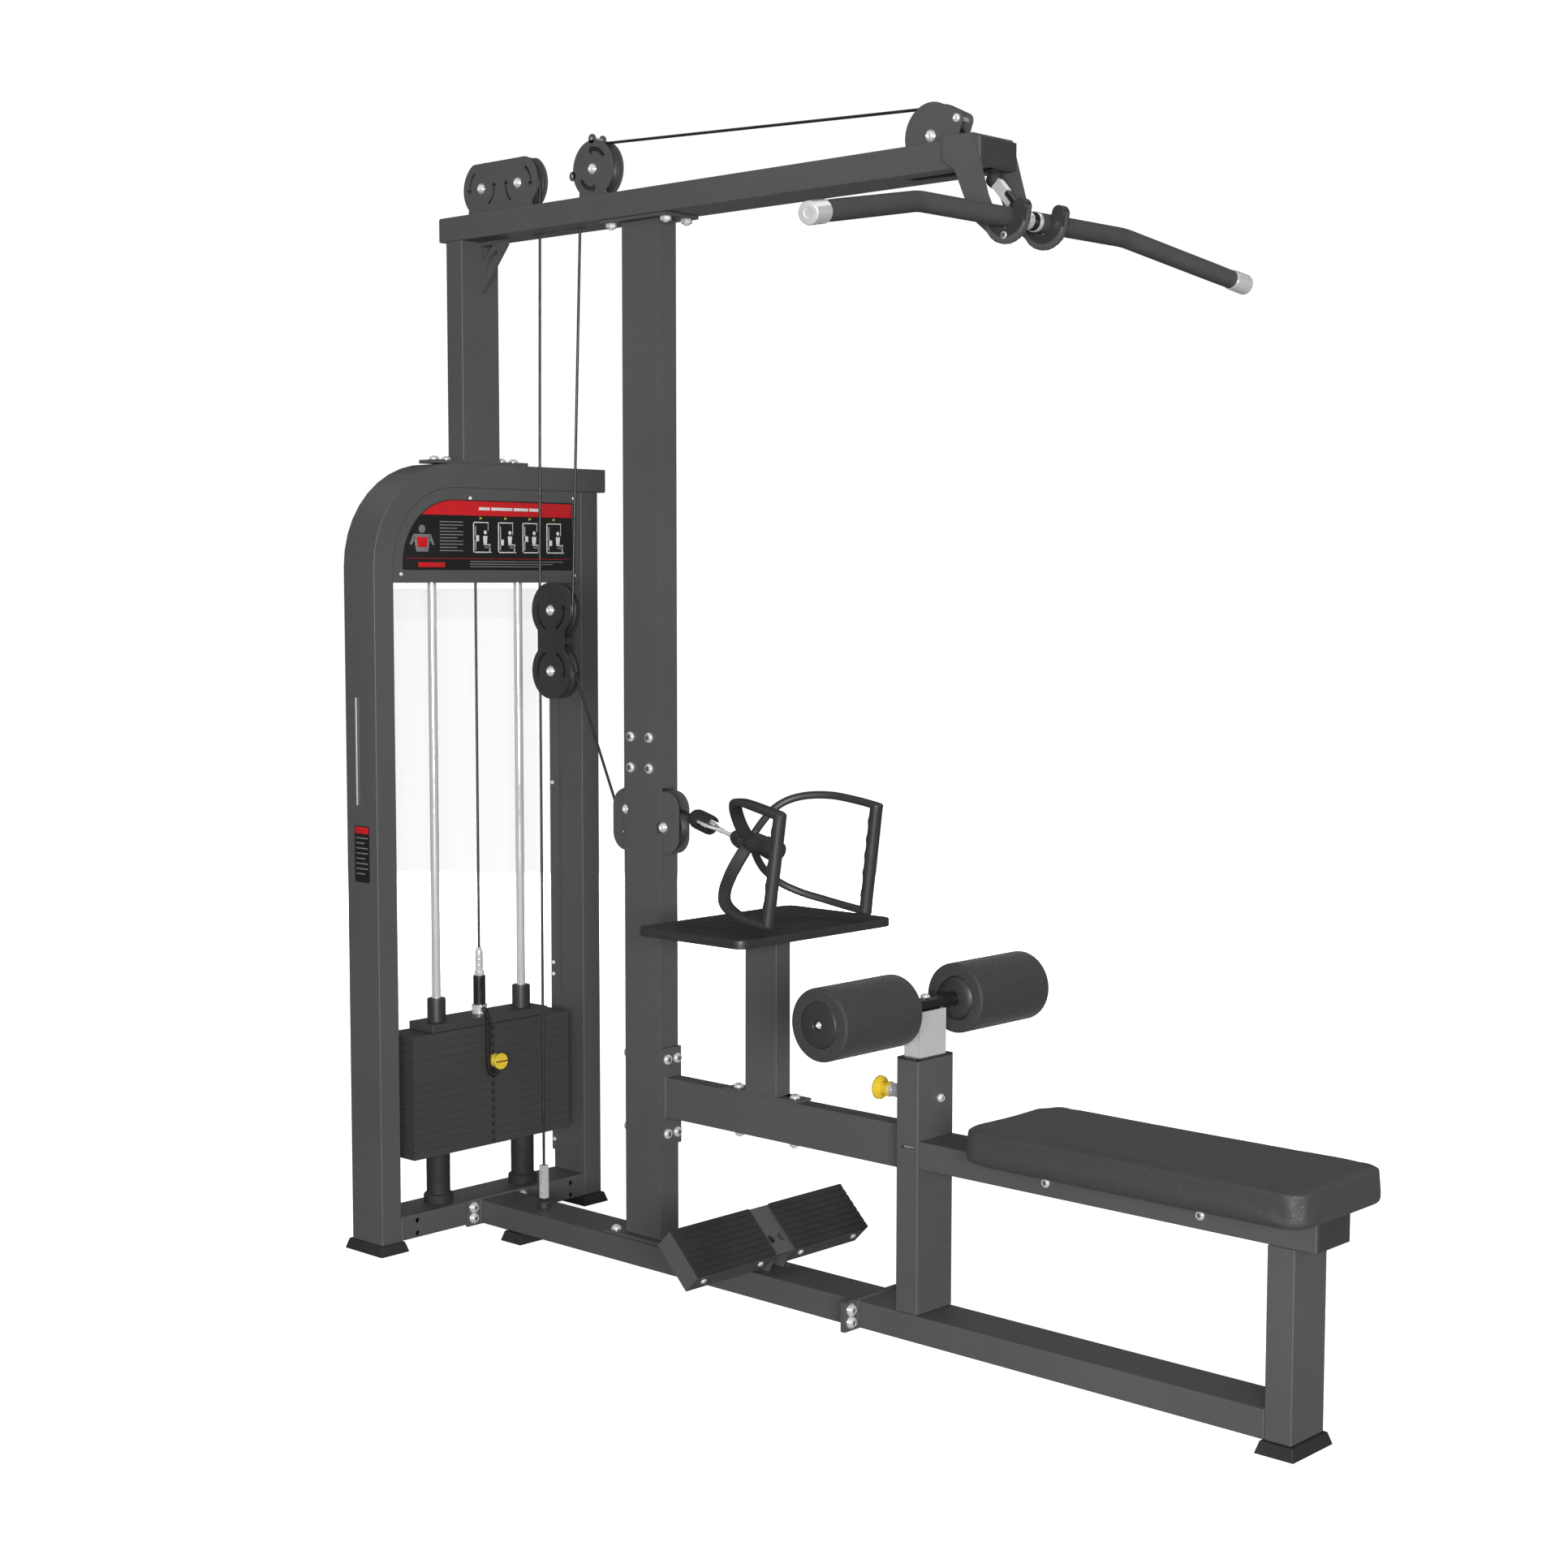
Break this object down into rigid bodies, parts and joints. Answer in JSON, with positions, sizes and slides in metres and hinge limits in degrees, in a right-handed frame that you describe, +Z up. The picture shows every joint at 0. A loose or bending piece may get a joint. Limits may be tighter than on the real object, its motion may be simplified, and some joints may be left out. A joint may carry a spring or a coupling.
{
  "type": "lat pulldown machine",
  "caption": "Cable strength machine: weight stack tower, boom with an angled pull-down bar, low row handle on a tray, foam hold-down rollers, padded bench seat and sloping footrest.",
  "frame": {"origin": "on the floor, under the centre of the machine's bounding box", "axes": "+X from the weight tower towards the seat, +Y across the machine, +Z up"},
  "size_m": [2.172, 1.2272, 2.2682],
  "materials": {
    "paint": "charcoal grey textured powder coat",
    "stack_paint": "black painted steel plates",
    "chrome": "bright chrome plate",
    "rubber": "matte black rubber",
    "plastic": "black moulded plastic",
    "cable": "black nylon coating over a steel cable",
    "yellow": "yellow moulded plastic",
    "vinyl": "black grained vinyl over foam",
    "foam": "black closed-cell foam roller",
    "shroud": "frosted translucent polycarbonate sheet"
  },
  "bodies": {
    "frame": {"tower_arch": "paint", "tower_right_post": "paint", "tower_crossbeam": "paint", "sign_panel": "paint", "rear_base_beam": "paint", "front_base_beam": "paint", "front_leg": "paint", "rear_strut": "paint", "boom": "paint", "column": "paint", "seat_rail": "paint", "seat_tube": "paint", "hold_down_post": "paint", "footrest_frame": "paint", "bar_holder": "paint", "tray_post": "paint", "resting_plates": "stack_paint", "guide_rod_left": "chrome", "guide_rod_right": "chrome", "row_cable_anchor": "chrome", "foot_tower_left": "rubber", "foot_tower_right": "rubber", "foot_middle": "rubber", "foot_front": "rubber", "stack_buffer_left": "rubber", "stack_buffer_right": "rubber", "footrest_tread_left": "rubber", "footrest_tread_right": "rubber", "top_pulley_housing": "plastic", "mid_pulley_housing": "plastic", "front_pulley_housing": "plastic", "column_pulley_housing": "plastic", "tray": "plastic", "lat_cable": "cable", "row_cable": "cable", "seat_pad": "vinyl", "rear_shroud": "shroud"},
    "lifted_stack": {"head_plate": "stack_paint", "selected_plates": "stack_paint", "pin_lanyard": "cable"},
    "pin": {"selector_pin": "yellow"},
    "carriage": {"carriage_frame": "plastic"},
    "carriage_upper_wheel": {"pulley_carriage_upper": "plastic"},
    "carriage_lower_wheel": {"pulley_carriage_lower": "plastic"},
    "top_rear_wheel": {"pulley_top_rear": "plastic"},
    "top_front_wheel": {"pulley_top_front": "plastic"},
    "mid_wheel": {"pulley_mid": "plastic"},
    "front_wheel": {"pulley_front": "plastic"},
    "column_rear_wheel": {"pulley_column_rear": "plastic"},
    "column_front_wheel": {"pulley_column_front": "plastic"},
    "pull_bar": {"lat_bar": "chrome", "lat_grip_left": "rubber", "lat_grip_right": "rubber", "lat_link": "rubber"},
    "row_grip": {"row_handle": "plastic", "row_link": "rubber"},
    "hold_down": {"hold_down_stem": "chrome"},
    "left_roller": {"roller_left": "foam"},
    "right_roller": {"roller_right": "foam"},
    "lock_pin": {"pop_pin": "yellow"}
  },
  "joints": [
    {"name": "stack_lift", "type": "slide", "parent": "frame", "child": "lifted_stack", "axis": [0, 0, 1], "range_m": [0, 0.85], "deforming": ["lat_cable"]},
    {"name": "lat_pull", "type": "slide", "parent": "frame", "child": "pull_bar", "axis": [0, 0, -1], "range_m": [-0.002, 0.852]},
    {"name": "top_rear_spin", "type": "hinge", "parent": "frame", "child": "top_rear_wheel", "pos_m": [-0.958, 0, 2.1965], "axis": [0, 1, 0], "range_deg": [-1, 975.03]},
    {"name": "top_front_spin", "type": "hinge", "parent": "frame", "child": "top_front_wheel", "pos_m": [-0.844, 0, 2.1965], "axis": [0, 1, 0], "range_deg": [-1, 975.03]},
    {"name": "mid_spin", "type": "hinge", "parent": "frame", "child": "mid_wheel", "pos_m": [-0.6205, 0, 2.1997], "axis": [0, 1, 0], "range_deg": [-1, 975.03]},
    {"name": "front_spin", "type": "hinge", "parent": "frame", "child": "front_wheel", "pos_m": [0.242, 0, 2.16], "axis": [0, 1, 0], "range_deg": [-1, 975.03]},
    {"name": "carriage_upper_spin", "type": "hinge", "parent": "carriage", "child": "carriage_upper_wheel", "pos_m": [-0.754, 0, 1.3276], "axis": [0, 1, 0], "range_deg": [-975.03, 1]},
    {"name": "row_pull", "type": "slide", "parent": "frame", "child": "row_grip", "axis": [1, 0, 0], "range_m": [0, 0.5], "stiffness_N_per_m": 2, "springref_m": -0.5, "deforming": ["row_cable"]},
    {"name": "carriage_travel", "type": "slide", "parent": "frame", "child": "carriage", "axis": [0, 0, -1], "range_m": [-0.002, 0.252]},
    {"name": "carriage_lower_spin", "type": "hinge", "parent": "carriage", "child": "carriage_lower_wheel", "pos_m": [-0.754, 0, 1.2033], "axis": [0, 1, 0], "range_deg": [-1, 573.96]},
    {"name": "column_rear_spin", "type": "hinge", "parent": "frame", "child": "column_rear_wheel", "pos_m": [-0.53, 0, 0.9344], "axis": [0, 1, 0], "range_deg": [-699.73, 1]},
    {"name": "column_front_spin", "type": "hinge", "parent": "frame", "child": "column_front_wheel", "pos_m": [-0.4265, 0, 0.9043], "axis": [0, 1, 0], "range_deg": [-1, 699.73]},
    {"name": "hold_down_height", "type": "slide", "parent": "frame", "child": "hold_down", "axis": [0, 0, 1], "range_m": [-0.06, 0.04]},
    {"name": "left_roller_spin", "type": "hinge", "parent": "hold_down", "child": "left_roller", "pos_m": [0.229, 0, 0.63], "axis": [0, 1, 0], "continuous": true},
    {"name": "right_roller_spin", "type": "hinge", "parent": "hold_down", "child": "right_roller", "pos_m": [0.229, 0, 0.63], "axis": [0, 1, 0], "continuous": true},
    {"name": "lock_pin_pull", "type": "slide", "parent": "frame", "child": "lock_pin", "axis": [-1, 0, 0], "range_m": [0, 0.012], "stiffness_N_per_m": 800, "springref_m": -0.004},
    {"name": "selector_pin_pull", "type": "slide", "parent": "lifted_stack", "child": "pin", "axis": [1, 0, 0], "range_m": [0, 0.1]}
  ],
  "couplings": [
    {"joint": "lat_pull", "follows": "stack_lift", "ratio": 1},
    {"joint": "top_rear_spin", "follows": "stack_lift", "rad_per_m": 20},
    {"joint": "top_front_spin", "follows": "stack_lift", "rad_per_m": 20},
    {"joint": "mid_spin", "follows": "stack_lift", "rad_per_m": 20},
    {"joint": "front_spin", "follows": "stack_lift", "rad_per_m": 20},
    {"joint": "carriage_upper_spin", "follows": "stack_lift", "rad_per_m": -20},
    {"joint": "carriage_travel", "follows": "row_pull", "ratio": 0.5},
    {"joint": "carriage_lower_spin", "follows": "row_pull", "rad_per_m": 20},
    {"joint": "column_rear_spin", "follows": "row_pull", "rad_per_m": -24.39},
    {"joint": "column_front_spin", "follows": "row_pull", "rad_per_m": 24.39}
  ]
}
